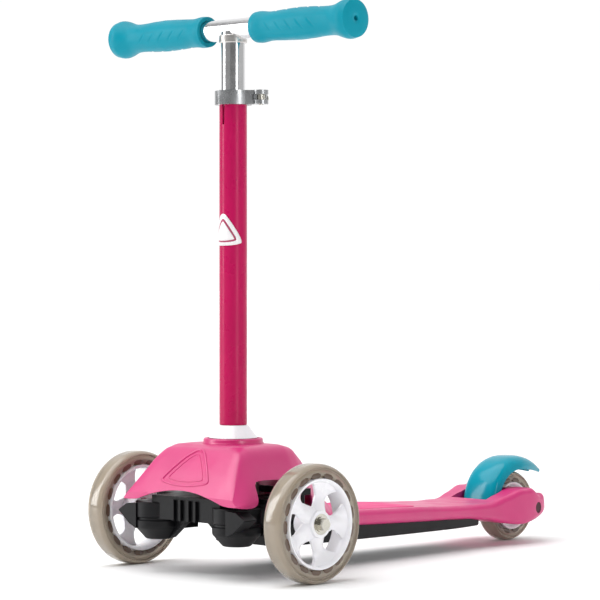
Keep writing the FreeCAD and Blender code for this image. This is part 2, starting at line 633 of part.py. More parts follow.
def pad_plate(above):
    """Outline of the standing pad, which narrows and falls towards the rear, up to a height above its face."""
    wide, narrow = PAD_HALF
    y, z = PAD_FRONT
    corners = [(-wide, y, 12), (wide, y, 12), (narrow, y + PAD_LENGTH, 12), (-narrow, y + PAD_LENGTH, 12)]
    made = plate(corners, z - PAD_THICK, z + above)
    made.rotate(V(0, y, z), V(1, 0, 0), -PAD_SLOPE)
    return made


def deck_base():
    """Black stiffening tray under the deck, with pockets between cross ribs."""
    slab = lofted([section(FRONT_Y + y, w, low, high, 3) for y, w, low, high in spaced(BASE_STATIONS, 40)])
    pockets = [block((-34, 34), (FRONT_Y + y, FRONT_Y + y + 42), (20, 40)) for y in range(70, 300, 50)]
    return cut(slab, pockets)


def rear_axle():
    """Rear axle bolt with a round head and nut, each in its recess."""
    z = REAR_WHEEL["r"]
    return join([cylinder(AXLE_R, (-48, REAR_Y, z), (48, REAR_Y, z)),
                 cylinder(6.0, (44, REAR_Y, z), (48, REAR_Y, z)),
                 cylinder(6.0, (-48, REAR_Y, z), (-44, REAR_Y, z))])


def rear_spacers():
    """Two collars between the rear bearings and the fork arms."""
    z = REAR_WHEEL["r"]
    low = REAR_WHEEL["width"] / 2 - 0.5 + FACE_GAP
    rings = [turned([(AXLE_R, side * low, 0), (6.5, side * low, 0), (6.5, side * WHEEL_SLOT_HALF, 0),
                     (AXLE_R, side * WHEEL_SLOT_HALF, 0)], (0, REAR_Y, z), "x") for side in (-1, 1)]
    return Part.makeCompound(rings)


def cover_section(y, low_half, high_half, low, high, corner):
    """One cross-section of the front cover: wide at its foot, narrower and rounded on top."""
    corners = [(-low_half, low, 1), (low_half, low, 1), (high_half, high, corner), (-high_half, high, corner)]
    return outline(corners, lambda a, b: (a, FRONT_Y + y, b))


COVER_STATIONS = [(-60, 83, 76, 74, 94), (-48, 86, 68, 74, 112), (-30, 86, 58, 74, 130), (0, 85, 55, 74, 133.5),
                  (45, 82, 53, 74, 133.5), (80, 70, 46, 60, 108), (122, 58, 42, 52, 62)]
COVER_OPENING_R = 26.5
COVER_RING_R = 30.5
COVER_TOP = 133.5
ARCH = [(-44, 60, 0), (56, 60, 0), (50, 96, 14), (-22, 101, 9), (-29, 80, 8), (-44, 72, 0)]


def front_cover():
    """Pink cover over the steering, with a ringed opening for the collar."""
    stations = spaced(COVER_STATIONS, 14)
    outer = lofted([cover_section(y, a, b, low, high, 10) for y, a, b, low, high in stations])
    inner = []
    for i, (y, a, b, low, high) in enumerate(stations):
        shift = {0: WALL, len(stations) - 1: -WALL}.get(i, 0)
        inner.append(cover_section(y + shift, a - WALL, b - WALL, low - 20, high - WALL, 7))
    shell = outer.cut(lofted(inner))
    ring = cylinder(COVER_RING_R, (0, COLUMN_Y, COVER_TOP - WALL / 2), (0, COLUMN_Y, PIVOT_Z))
    shell = shell.fuse(ring)
    edge_r = 169.0
    tools = [cylinder(COVER_OPENING_R, (0, COLUMN_Y, 100), (0, COLUMN_Y, 160)),
             cylinder(edge_r, (0, FRONT_Y - 80, 86 - edge_r), (0, FRONT_Y - 20, 86 - edge_r)),
             block((-55.6, 55.6), (FRONT_Y + 56, FRONT_Y + 140), (30, 59.6))]
    for side in (-1, 1):
        wire = outline(ARCH, lambda a, b: (side * 60, FRONT_Y + a, b))
        tools.append(Part.Face(wire).extrude(V(side * 40, 0, 0)))
    return cut(shell, tools)


save("deck_top", deck_top())
save("deck_base", deck_base())
save("grip_pad", pad_plate(0))
save("rear_axle", rear_axle())
save("rear_spacers", rear_spacers())
save("front_cover", front_cover())


# ---- Rear brake ---------------------------------------------------------------------
FENDER_HALF = 23.0
FENDER_R = (54.0, 58.0)


def fender():
    """Foot brake: an arched fender over the rear wheel, hinged at its front."""
    centre = (0, REAR_Y, REAR_WHEEL["r"])
    inner, outer = FENDER_R
    half = FENDER_HALF
    profile = [(46, -half, 0), (outer - 6, -half, 5), (outer, -half + 9, 8), (outer, half - 9, 8),
               (outer - 6, half, 5), (46, half, 0), (46, half - 3, 0), (inner - 5, half - 3, 3),
               (inner, half - 10, 5), (inner, -half + 10, 5), (inner - 5, -half + 3, 3), (46, -half + 3, 0)]
    wire = outline(profile, lambda r, a: (a, REAR_Y, REAR_WHEEL["r"] + r))
    arch = Part.Face(wire)
    arch.rotate(V(*centre), V(1, 0, 0), -10)
    arch = arch.revolve(V(*centre), V(1, 0, 0), 92)
    tail = lofted([section(REAR_Y + 6, 20, 93.5, 97.7, 1.8), section(REAR_Y + 24, 17.5, 90.2, 94.8, 1.8),
                   section(REAR_Y + 42, 13, 83.7, 88, 1.8), section(REAR_Y + 60, 7, 74.5, 78.5, 1.6)])
    y, z = FENDER_PIVOT
    barrel = cylinder(6.0, (-half, y, z), (half, y, z))
    body = join([arch, tail, barrel])
    clear = cylinder(REAR_WHEEL["r"] + 6, (-half - 1, REAR_Y, REAR_WHEEL["r"]), (half + 1, REAR_Y, REAR_WHEEL["r"]))
    bore = cylinder(3.0 + RUNNING_GAP, (-30, y, z), (30, y, z))
    return cut(body, [clear, bore])


def brake_pad():
    """Hard pad under the fender that meets the tyre."""
    centre = (0, REAR_Y, REAR_WHEEL["r"])
    wire = outline([(45.5, -9, 0), (FENDER_R[0], -9, 0), (FENDER_R[0], 9, 0), (45.5, 9, 0)],
                   lambda r, a: (a, REAR_Y, REAR_WHEEL["r"] + r))
    pad = Part.Face(wire)
    pad.rotate(V(*centre), V(1, 0, 0), 5)
    return pad.revolve(V(*centre), V(1, 0, 0), 30)


def fender_pin():
    return cylinder(3.0, (-32, *FENDER_PIVOT), (32, *FENDER_PIVOT))


save("fender", fender())
save("brake_pad", brake_pad())
save("fender_pin", fender_pin())
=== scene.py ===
import json
import math

import bmesh
import bpy
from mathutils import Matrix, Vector
from mathutils.bvhtree import BVHTree


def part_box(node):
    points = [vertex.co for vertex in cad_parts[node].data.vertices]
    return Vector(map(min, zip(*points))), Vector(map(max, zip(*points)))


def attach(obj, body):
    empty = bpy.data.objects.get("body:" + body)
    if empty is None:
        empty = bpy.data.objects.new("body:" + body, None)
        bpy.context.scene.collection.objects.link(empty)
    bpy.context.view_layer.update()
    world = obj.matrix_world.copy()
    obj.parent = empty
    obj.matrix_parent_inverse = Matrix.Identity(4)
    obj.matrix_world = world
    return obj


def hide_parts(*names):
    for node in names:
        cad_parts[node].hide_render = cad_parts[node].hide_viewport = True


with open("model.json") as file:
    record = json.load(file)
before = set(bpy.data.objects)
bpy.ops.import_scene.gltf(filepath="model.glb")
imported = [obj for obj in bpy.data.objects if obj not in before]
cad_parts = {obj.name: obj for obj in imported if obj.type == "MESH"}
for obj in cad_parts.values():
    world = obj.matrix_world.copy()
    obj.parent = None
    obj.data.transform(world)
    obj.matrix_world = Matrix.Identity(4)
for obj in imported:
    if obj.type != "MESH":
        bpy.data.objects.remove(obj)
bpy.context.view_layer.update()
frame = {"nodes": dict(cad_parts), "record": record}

MM = 0.001


# ---- Places, read from the frame ------------------------------------------------------
def centre(node):
    low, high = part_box(node)
    return (low + high) / 2


LEFT_HUB = centre("front_left_hub")
RIGHT_HUB = centre("front_right_hub")
REAR_HUB = centre("rear_hub")
FRONT_Y = LEFT_HUB.y
REAR_Y = REAR_HUB.y
COLUMN = centre("column_tube")
BAR = centre("crossbar")


# ---- Camera ---------------------------------------------------------------------------
def front_camera():
    """A plain long-lens camera, low and off to the scooter's left front, with no shift."""
    heading = math.radians(44.0)
    dip = 0.0107
    sight = Vector((-math.sin(heading), math.cos(heading), -dip))
    data = bpy.data.cameras.new("camera")
    data.sensor_width = 36
    data.lens = 152
    camera = bpy.data.objects.new("camera", data)
    camera.location = (1.868, FRONT_Y - 1.817, 0.309)
    camera.rotation_mode = "QUATERNION"
    camera.rotation_quaternion = sight.to_track_quat("-Z", "Y")
    bpy.context.scene.collection.objects.link(camera)
    bpy.context.scene.camera = camera


front_camera()


# ---- Materials ------------------------------------------------------------------------
def material(name, colour, rough=0.4, metal=0.0, vary=0.06, grain=400.0, bump=0.02, smudge=0.08,
             coat=0.0, through=0.0, ior=1.5, sub=0.0, brushed=None, coat_rough=0.1, shine=0.5):
    """A surface with drifting colour, fine relief and patches of wear in its gloss."""
    made = bpy.data.materials.new(name)
    made.use_nodes = True
    nodes, links = made.node_tree.nodes, made.node_tree.links
    shader = nodes["Principled BSDF"]
    shader.inputs["Metallic"].default_value = metal
    shader.inputs["IOR"].default_value = ior
    shader.inputs["Specular IOR Level"].default_value = shine
    shader.inputs["Coat Weight"].default_value = coat
    shader.inputs["Coat Roughness"].default_value = coat_rough
    shader.inputs["Transmission Weight"].default_value = through
    shader.inputs["Subsurface Weight"].default_value = sub
    shader.inputs["Subsurface Radius"].default_value = (0.004, 0.003, 0.002)
    shader.inputs["Subsurface Scale"].default_value = 1.0
    where = nodes.new("ShaderNodeTexCoord")

    def noise(scale, detail=3.0, stretch=None):
        texture = nodes.new("ShaderNodeTexNoise")
        texture.inputs["Scale"].default_value = scale
        texture.inputs["Detail"].default_value = detail
        if stretch:
            mapping = nodes.new("ShaderNodeMapping")
            mapping.inputs["Scale"].default_value = stretch
            links.new(where.outputs["Object"], mapping.inputs["Vector"])
            links.new(mapping.outputs["Vector"], texture.inputs["Vector"])
        else:
            links.new(where.outputs["Object"], texture.inputs["Vector"])
        return texture

    drift = noise(18.0)
    ramp = nodes.new("ShaderNodeValToRGB")
    ramp.color_ramp.elements[0].position = 0.3
    ramp.color_ramp.elements[1].position = 0.7
    ramp.color_ramp.elements[0].color = [c * (1 - vary) for c in colour] + [1]
    ramp.color_ramp.elements[1].color = [min(1, c * (1 + vary)) for c in colour] + [1]
    links.new(drift.outputs["Fac"], ramp.inputs["Fac"])
    links.new(ramp.outputs["Color"], shader.inputs["Base Color"])

    wear = noise(45.0, 5.0)
    spread = nodes.new("ShaderNodeMapRange")
    spread.inputs["From Min"].default_value = 0.3
    spread.inputs["From Max"].default_value = 0.7
    spread.inputs["To Min"].default_value = max(0.02, rough - smudge)
    spread.inputs["To Max"].default_value = rough + smudge
    links.new(wear.outputs["Fac"], spread.inputs["Value"])
    links.new(spread.outputs["Result"], shader.inputs["Roughness"])

    relief = noise(grain, 2.0, brushed)
    height = nodes.new("ShaderNodeBump")
    height.inputs["Strength"].default_value = bump
    height.inputs["Distance"].default_value = 0.0005
    links.new(relief.outputs["Fac"], height.inputs["Height"])
    links.new(height.outputs["Normal"], shader.inputs["Normal"])
    return made


PINK = material("pink_plastic", (0.60, 0.012, 0.165), rough=0.36, bump=0.10, grain=900, vary=0.04,
                shine=0.85)
MAGENTA = material("magenta_paint", (0.46, 0.001, 0.080), rough=0.30, bump=0.02, grain=300, vary=0.03,
                   shine=0.22)
ALUMINIUM = material("polished_aluminium", (0.74, 0.74, 0.75), rough=0.16, metal=1.0, vary=0.02,
                     bump=0.02, grain=220, brushed=(1, 1, 0.15), smudge=0.05)
CAST = material("cast_aluminium", (0.42, 0.43, 0.44), rough=0.30, metal=1.0, vary=0.05, bump=0.06,
                grain=500, brushed=(0.1, 0.1, 1))
WELD = material("weld_metal", (0.60, 0.58, 0.56), rough=0.3, metal=1.0, vary=0.15, bump=0.3, grain=350)
RUBBER = material("turquoise_rubber", (0.0, 0.265, 0.355), rough=0.42, bump=0.12, grain=1200, vary=0.05,
                  shine=0.15)
TURQUOISE = material("turquoise_plastic", (0.0, 0.285, 0.38), rough=0.16, bump=0.02, grain=200, vary=0.04,
                     coat=0.08, coat_rough=0.05, smudge=0.04, shine=0.2)
WHITE = material("white_plastic", (0.88, 0.87, 0.90), rough=0.24, bump=0.02, grain=300, vary=0.015,
                 coat=0.2, sub=0.05)
TYRE = material("smoky_tyre", (0.51, 0.44, 0.35), rough=0.14, bump=0.02, grain=150, vary=0.06,
                through=0.50, ior=1.35, smudge=0.05, coat=0.5, coat_rough=0.05)
KEY = material("key_ring_plastic", (0.60, 0.52, 0.42), rough=0.4, bump=0.05, vary=0.05)
WINDOW = material("window_brown", (0.100, 0.060, 0.038), rough=0.25, bump=0.1, vary=0.30, grain=120,
                  coat=0.4)
BLACK = material("black_plastic", (0.004, 0.004, 0.005), rough=0.38, bump=0.12, grain=900, vary=0.12,
                 shine=0.22)
STEEL = material("zinc_steel", (0.58, 0.56, 0.50), rough=0.25, metal=1.0, vary=0.10, bump=0.06, grain=500)
DARK_STEEL = material("blackened_steel", (0.10, 0.05, 0.06), rough=0.4, metal=1.0, vary=0.10, bump=0.06,
                      grain=500)
LABEL = material("label_white", (0.86, 0.84, 0.85), rough=0.3, bump=0.02, vary=0.02, coat=0.3)
LABEL_LINE = material("label_line", (0.42, 0.05, 0.12), rough=0.35, bump=0.02, vary=0.05)
PAD = material("pad_rubber", (0.72, 0.024, 0.20), rough=0.5, bump=0.18, grain=1100, vary=0.05, shine=0.3)

BY_SLOT = {"pink_plastic": PINK, "magenta_metal": MAGENTA, "polished_aluminium": ALUMINIUM,
           "turquoise_rubber": RUBBER, "turquoise_plastic": TURQUOISE, "white_plastic": WHITE,
           "smoky_tyre": TYRE, "brown_core": KEY, "black_plastic": BLACK, "steel": STEEL,
           "label_white": LABEL, "pad": PAD}
NODE_MATERIAL = {"clamp_ring": CAST, "clamp_lever": CAST, "weld_bead": WELD, "rear_axle": DARK_STEEL}


def dress_frame():
    """Gives every CAD node its finish."""
    for part in frame["record"]["subparts"]:
        node = frame["nodes"][part["node"]]
        node.data.materials.clear()
        node.data.materials.append(NODE_MATERIAL.get(part["node"], BY_SLOT[part["material_slot"]]))


dress_frame()


# ---- Stage ----------------------------------------------------------------------------
def surround():
    """A white backdrop behind the scooter that falls to grey ahead of it and towards +X."""
    world = bpy.data.worlds.new("surround")
    world.use_nodes = True
    nodes, links = world.node_tree.nodes, world.node_tree.links
    where = nodes.new("ShaderNodeTexCoord")
    parts = nodes.new("ShaderNodeSeparateXYZ")
    fall = nodes.new("ShaderNodeMapRange")
    fall.interpolation_type = "SMOOTHSTEP"
    fall.inputs["From Min"].default_value = -0.25
    fall.inputs["From Max"].default_value = 0.30
    fall.inputs["To Min"].default_value = 0.30
    fall.inputs["To Max"].default_value = 1.02
    shade = nodes.new("ShaderNodeMapRange")
    shade.interpolation_type = "SMOOTHSTEP"
    shade.inputs["From Min"].default_value = 0.05
    shade.inputs["From Max"].default_value = 0.45
    shade.inputs["To Min"].default_value = 1.0
    shade.inputs["To Max"].default_value = 0.55
    both = nodes.new("ShaderNodeMath")
    both.operation = "MULTIPLY"
    links.new(where.outputs["Generated"], parts.inputs["Vector"])
    links.new(parts.outputs["Y"], fall.inputs["Value"])
    links.new(parts.outputs["X"], shade.inputs["Value"])
    links.new(fall.outputs["Result"], both.inputs[0])
    links.new(shade.outputs["Result"], both.inputs[1])
    links.new(both.outputs["Value"], nodes["Background"].inputs["Strength"])
    nodes["Background"].inputs["Color"].default_value = (1, 1, 1, 1)
    bpy.context.scene.world = world


LAMP_AIM = Vector((0, 0, 0.2))


def lamp(name, kind, spot, power, size):
    """A light at a spot, turned towards the middle of the scooter."""
    light = bpy.data.lights.new(name, kind)
    light.energy = power
    if kind == "SUN":
        light.angle = size
    else:
        light.shape = "RECTANGLE"
        light.size, light.size_y = size
    made = bpy.data.objects.new(name, light)
    made.location = spot
    made.rotation_mode = "QUATERNION"
    made.rotation_quaternion = (LAMP_AIM - Vector(spot)).to_track_quat("-Z", "Y")
    bpy.context.scene.collection.objects.link(made)


def stage():
    """Pale floor, an overhead soft light and two tall soft boxes."""
    bpy.ops.mesh.primitive_plane_add(size=60, location=(0, 0, 0))
    floor = bpy.context.object
    floor.name = "floor"
    floor.data.materials.append(material("floor", (0.96, 0.96, 0.96), rough=0.6, bump=0.0, vary=0.005))
    surround()
    lamp("overhead", "SUN", (-0.6, -0.9, 3.0), 2.3, math.radians(60))
    lamp("left_box", "AREA", (-1.6, -1.7, 1.0), 22, (0.5, 1.8))
    lamp("right_box", "AREA", (2.6, -0.7, 0.9), 16, (0.5, 1.8))
    bpy.context.scene.view_settings.view_transform = "Standard"


stage()

# ---- Mesh tools -----------------------------------------------------------------------
def piece(name, verts, faces, finish, body, replaced=(), sharp=40):
    """A new mesh that rides on a body and, where it stands for CAD nodes, hides them."""
    mesh = bpy.data.meshes.new(name)
    mesh.from_pydata([tuple(v) for v in verts], [], faces)
    mesh.validate()
    made = bpy.data.objects.new(name, mesh)
    bpy.context.scene.collection.objects.link(made)
    work = bmesh.new()
    work.from_mesh(mesh)
    bmesh.ops.remove_doubles(work, verts=work.verts, dist=1e-6)
    bmesh.ops.recalc_face_normals(work, faces=work.faces)
    work.to_mesh(mesh)
    work.free()
    mesh.materials.append(finish)
    mesh.shade_smooth()
    if sharp:
        mesh.set_sharp_from_angle(angle=math.radians(sharp))
    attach(made, body)
    if replaced:
        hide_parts(*replaced)
    return made


def applied(made):
    """The piece with its modifiers worked into the mesh."""
    graph = bpy.context.evaluated_depsgraph_get()
    mesh = bpy.data.meshes.new_from_object(made.evaluated_get(graph))
    made.modifiers.clear()
    made.data = mesh
    return made


def chaikin(points, rounds=2, closed=True):
    """Corners cut to a smooth line."""
    for _ in range(rounds):
        count = len(points)
        cut = [] if closed else [points[0]]
        for i in range(count if closed else count - 1):
            a, b = Vector(points[i]), Vector(points[(i + 1) % count])
            cut += [a.lerp(b, 0.25), a.lerp(b, 0.75)]
        if not closed:
            cut.append(points[-1])
        points = cut
    return [Vector(p) for p in points]


def turned(profile, origin, segments=96, shape=None):
    """Vertices and faces of a closed (radius, along x) profile turned about the x axis."""
    verts, faces = [], []
    rows = len(profile)
    for i in range(segments):
        angle = 2 * math.pi * i / segments
        for along_index, (radius, along) in enumerate(profile):
            if shape:
                radius = shape(radius, along, angle)
            verts.append(Vector((origin[0] + along * MM, origin[1] + radius * MM * math.cos(angle),
                                 origin[2] + radius * MM * math.sin(angle))))
    for i in range(segments):
        j = (i + 1) % segments
        for k in range(rows):
            n = (k + 1) % rows
            faces.append((i * rows + k, j * rows + k, j * rows + n, i * rows + n))
    return verts, faces


def solid_grid(top, under):
    """A closed solid between two equal grids of points, each a list of rows."""
    rows, cols = len(top), len(top[0])
    verts = [p for row in top for p in row] + [p for row in under for p in row]
    shift = rows * cols
    faces = []
    for i in range(rows - 1):
        for j in range(cols - 1):
            a, b, c, d = i * cols + j, i * cols + j + 1, (i + 1) * cols + j + 1, (i + 1) * cols + j
            faces += [(a, b, c, d), (a + shift, d + shift, c + shift, b + shift)]
    for i in range(rows - 1):
        for j in (0, cols - 1):
            a, d = i * cols + j, (i + 1) * cols + j
            faces.append((a, d, d + shift, a + shift))
    for j in range(cols - 1):
        for i in (0, rows - 1):
            a, b = i * cols + j, i * cols + j + 1
            faces.append((a, b, b + shift, a + shift))
    return verts, faces


def merged(parts):
    """Several (verts, faces) pairs as one."""
    verts, faces = [], []
    for more_verts, more_faces in parts:
        shift = len(verts)
        verts += more_verts
        faces += [tuple(i + shift for i in face) for face in more_faces]
    return verts, faces


def blend_rows(stations, y):
    """Station values at y, in proportion between the two nearest."""
    for low, high in zip(stations, stations[1:]):
        if y <= high[0]:
            share = (y - low[0]) / (high[0] - low[0])
            return [a + (b - a) * share for a, b in zip(low[1:], high[1:])]
    return list(stations[-1][1:])


# ---- Grips ----------------------------------------------------------------------------
GRIP_START, GRIP_END = 37.0, 173.4
TICKS_START, TICKS_END = 58, 130


def grip_radius(along):
    """Outer radius of the left grip at a distance from the middle of the handlebar."""
    shape = [(37, 15.0), (38, 16.1), (42, 16.4), (47, 15.9), (53, 14.9), (60, 14.9), (80, 15.9),
             (98, 16.5), (116, 15.9), (130, 14.9), (140, 14.75), (148, 15.4), (155, 17.6), (161, 19.7),
             (166, 20.4), (170, 19.6), (172.2, 17.6), (173.4, 14.5)]
    for (a, ra), (b, rb) in zip(shape, shape[1:]):
        if along <= b:
            return ra + (rb - ra) * (along - a) / (b - a)
    return shape[-1][1]


def tick_depth(along, angle):
    """Depth of the short slanting grooves along the grip, in four bands round it."""
    depth = 0.0
    half_length, half_width, deepest = 5.5, 1.6, 0.55
    for band in range(4):
        for place in range(64, 125, 15):
            turn = (angle - band * math.pi / 2 - math.radians(8) + math.pi) % (2 * math.pi) - math.pi
            across = turn * 16.0
            lean = along - place - 0.9 * across
            if abs(across) < half_length and abs(lean) < half_width:
                across_fade, along_fade = 1 - (lean / half_width) ** 2, 1 - (across / half_length) ** 4
                depth = max(depth, deepest * across_fade * along_fade)
    return depth


def grip(name, side, node):
    """Moulded grip with a grooved middle and a flared end."""
    outside = []
    along = GRIP_START
    while along < GRIP_END:
        outside.append((grip_radius(along), along))
        along += 0.9 if TICKS_START < along < TICKS_END else 1.6
    smooth = []
    for i in range(len(outside)):
        near = outside[max(0, i - 2):i + 3]
        smooth.append((sum(p[0] for p in near) / len(near), outside[i][1]))
    profile = [(11.3, 37.6), (13.6, 36.9)] + smooth
    profile += [(13.2, 173.45), (7.0, 173.3), (3.2, 173.2), (2.5, 172.4), (2.5, 168.5), (11.1, 168.5)]
    profile = [(radius, side * place) for radius, place in profile]

    def ticks(radius, place, angle):
        grooved = radius > 12 and TICKS_START < abs(place) < TICKS_END
        return radius - tick_depth(abs(place), angle) if grooved else radius

    verts, faces = turned(profile, (BAR.x, BAR.y, BAR.z), 144, ticks)
    return piece(name, verts, faces, RUBBER, "handlebar", [node], sharp=60)


grip("grip_left_moulded", 1, "grip_left")
grip("grip_right_moulded", -1, "grip_right")


# ---- Wheels ---------------------------------------------------------------------------
def wheel_tyre(name, hub, size, body, node):
    """Cast tyre: sunk side walls, a groove round them and a round tread."""
    radius, hub_r, wall_r = size["radius"], size["hub_r"], size["wall_r"]
    tread, wall = size["tread"], size["wall"]
    side = [(hub_r, wall), (wall_r - 1.6, wall), (wall_r - 0.4, wall - 1.6), (wall_r + 0.8, wall - 0.6),
            (wall_r + 1.5, tread - 0.3), (radius - 1.9, tread - 1.5), (radius - 0.3, tread - 4.5),
            (radius, tread - 8.0)]
    corners = [(r, -along) for r, along in side] + side[::-1]
    profile = [tuple(p) for p in chaikin([Vector(p) for p in corners], 2)]
    verts, faces = turned(profile, hub, 160)
    return piece(name, verts, faces, TYRE, body, [node], sharp=None)


def window_blocks(name, hub, size, body):
    """The dark square windows of the key ring, as they show in both side walls of the tyre."""
    parts = []
    low, high = size["hub_r"] - 0.2, size["core_r"] - 0.6
    mid = (low + high) / 2
    count = size["windows"]
    reach = 0.36 * 2 * math.pi / count
    face = size["wall"] + 0.14
    depth, bevel = 2.0, 0.3
    for side, i in [(side, i) for side in (-1, 1) for i in range(count)]:
        middle = 2 * math.pi * (i + 0.5) / count
        ring = [(low, -reach), (high, -reach), (high, reach), (low, reach)]
        outline = chaikin([Vector((r, a * mid)) for r, a in ring], 1)
        grid = []
        for along, inset in ((side * (face - depth), 0.0), (side * (face - 0.12), 0.0),
                             (side * face, bevel)):
            row = []
            for p in outline:
                r = p.x + (inset if p.x < mid else -inset)
                a = middle + p.y / mid
                y, z = hub.y + r * MM * math.cos(a), hub.z + r * MM * math.sin(a)
                row.append(Vector((hub.x + along * MM, y, z)))
            grid.append(row)
        cols = len(outline)
        verts = [p for row in grid for p in row]
        faces = []
        for k in range(2):
            for j in range(cols):
                n = (j + 1) % cols
                faces.append((k * cols + j, k * cols + n, (k + 1) * cols + n, (k + 1) * cols + j))
        faces += [tuple(range(cols)), tuple(range(2 * cols, 3 * cols))]
        parts.append((verts, faces))
    verts, faces = merged(parts)
    return piece(name, verts, faces, WINDOW, body, sharp=50)


def spoke(hub, size, turn, outward):
    """One broad dished spoke that curls from the boss to the rim and flares at both ends."""
    rows, cols = 18, 11
    inner, outer = size["boss_r"] - 1.5, size["hub_r"] - 2.0
    half = size["half"]
    top, under = [], []
    for i in range(rows):
        share = i / (rows - 1)
        radius = inner + (outer - inner) * share
        width = size["spoke"] * (0.62 + 1.25 * (share - 0.42) ** 2 * 3.2) * (1.0 if share > 0.42 else 1.15)
        bend = 0.12 * math.sin(share * math.pi / 2)
        line_top, line_under = [], []
        for j in range(cols):
            across = -1 + 2 * j / (cols - 1)
            angle = turn + bend + across * width / radius
            crown = (half - 2.2) - 5.5 * math.sin(math.pi * share) - 3.0 * across ** 2
            floor = crown - 4.2 + 1.6 * across ** 2
            y, z = hub.y + radius * MM * math.cos(angle), hub.z + radius * MM * math.sin(angle)
            line_top.append(Vector((hub.x + outward * crown * MM, y, z)))
            line_under.append(Vector((hub.x + outward * floor * MM, y, z)))
        top.append(line_top)
        under.append(line_under)
    return solid_grid(top, under)


SPOKES = 5


def wheel_hub(name, hub, size, body, node, outward, turn):
    """Rim, boss with open bearing seats, and the curled spokes."""
    half, hub_r, boss = size["half"] - 0.4, size["hub_r"], size["boss_r"]
    rim = [(hub_r - 2.6, -half), (hub_r + 0.2, -half), (hub_r + 0.2, half), (hub_r - 2.6, half),
           (hub_r - 4.6, half - 4), (hub_r - 4.6, -half + 4)]
    rim = [tuple(p) for p in chaikin([Vector(p) for p in rim], 1)]
    neck = [(boss - 2.9, -half), (boss, -half), (boss + 0.6, -half + 5), (boss + 0.6, half - 5),
            (boss, half), (boss - 2.9, half), (boss - 2.9, half - 6.8), (7, half - 7), (7, -half + 7),
            (boss - 2.9, -half + 6.8)]
    parts = [turned(rim, hub, 128), turned(neck, hub, 64)]
    for i in range(SPOKES):
        parts.append(spoke(hub, size, turn + i * 2 * math.pi / SPOKES, outward))
    verts, faces = merged(parts)
    return piece(name, verts, faces, WHITE, body, [node], sharp=38)


# In mm: "half" is half the width, "tread" and "wall" are how far out those faces stand.
FRONT_SIZE = {"radius": 60.0, "half": 13.0, "tread": 12.0, "wall": 10.0, "hub_r": 45.7, "core_r": 51.5,
              "wall_r": 54.8, "windows": 17, "boss_r": 13.4, "spoke": 11.0}
REAR_SIZE = {"radius": 40.0, "half": 12.0, "tread": 11.0, "wall": 9.4, "hub_r": 27.5, "core_r": 33.0,
             "wall_r": 35.5, "windows": 12, "boss_r": 14.0, "spoke": 5.5}
for where, hub, size, body, outward, turn in (
        ("front_left", LEFT_HUB, FRONT_SIZE, "left_wheel", 1, -0.12),
        ("front_right", RIGHT_HUB, FRONT_SIZE, "right_wheel", -1, 0.51),
        ("rear", REAR_HUB, REAR_SIZE, "rear_wheel", 1, 0.2)):
    wheel_tyre(where + "_tyre_cast", hub, size, body, where + "_tyre")
    window_blocks(where + "_windows", hub, size, body)
    wheel_hub(where + "_hub_moulded", hub, size, body, where + "_hub", outward, turn)


# ---- Front cover ----------------------------------------------------------------------
# Stations behind the front axle: half width at the foot, half width at the top, foot, top.
COVER = [(-59.6, 82.5, 77.0, 76.0, 84.0), (-54.0, 85.2, 72.5, 75.2, 93.5),
         (-46.0, 86.2, 67.0, 74.5, 106.5), (-36.0, 86.6, 61.5, 74.2, 120.5),
         (-27.0, 86.6, 57.5, 74.0, 129.0), (-16.0, 86.4, 55.5, 74.0, 132.8),
         (5.0, 85.6, 54.5, 74.0, 133.3), (40.0, 82.4, 52.8, 74.0, 133.2),
         (54.0, 79.0, 51.2, 73.5, 130.0), (68.0, 74.0, 48.8, 67.0, 119.0),
         (84.0, 67.0, 45.8, 60.0, 101.0), (102.0, 61.0, 43.2, 55.0, 80.0),
         (120.0, 57.5, 42.5, 53.0, 63.5)]
NOSE_Y, TAIL_Y = COVER[0][0], COVER[-1][0]
ROW_STEP = 2.8
COVER_WALL = 2.8
LIP_BACK_Y = -56.6
LIP_FOOT_Z = 76.0
COLLAR_OPENING = 0.0267


def cover_outline(y, inset=0.0):
    """Half cross-section of the cover from its foot on the +X side to the middle of its top."""
    foot, top_half, low, high = blend_rows(COVER, y)
    foot, top_half, high = foot - inset, top_half - inset, high - inset
    slim = min(1.0, max(0.0, (high - low) / 40.0))
    side = [Vector((foot - 0.4, low)), Vector((foot, low + 2.0)),
            Vector((foot - 0.10 * (foot - top_half), low + 0.20 * (high - low))),
            Vector((top_half + 0.30 * (foot - top_half), low + 0.66 * (high - low))),
            Vector((top_half + 2.0 * slim, high - 5.5 * slim)), Vector((top_half - 5.0, high - 0.6)),
            Vector((top_half * 0.7, high)), Vector((top_half * 0.35, high + 0.1)),
            Vector((0, high + 0.1))]
    return chaikin(side, 3, closed=False)


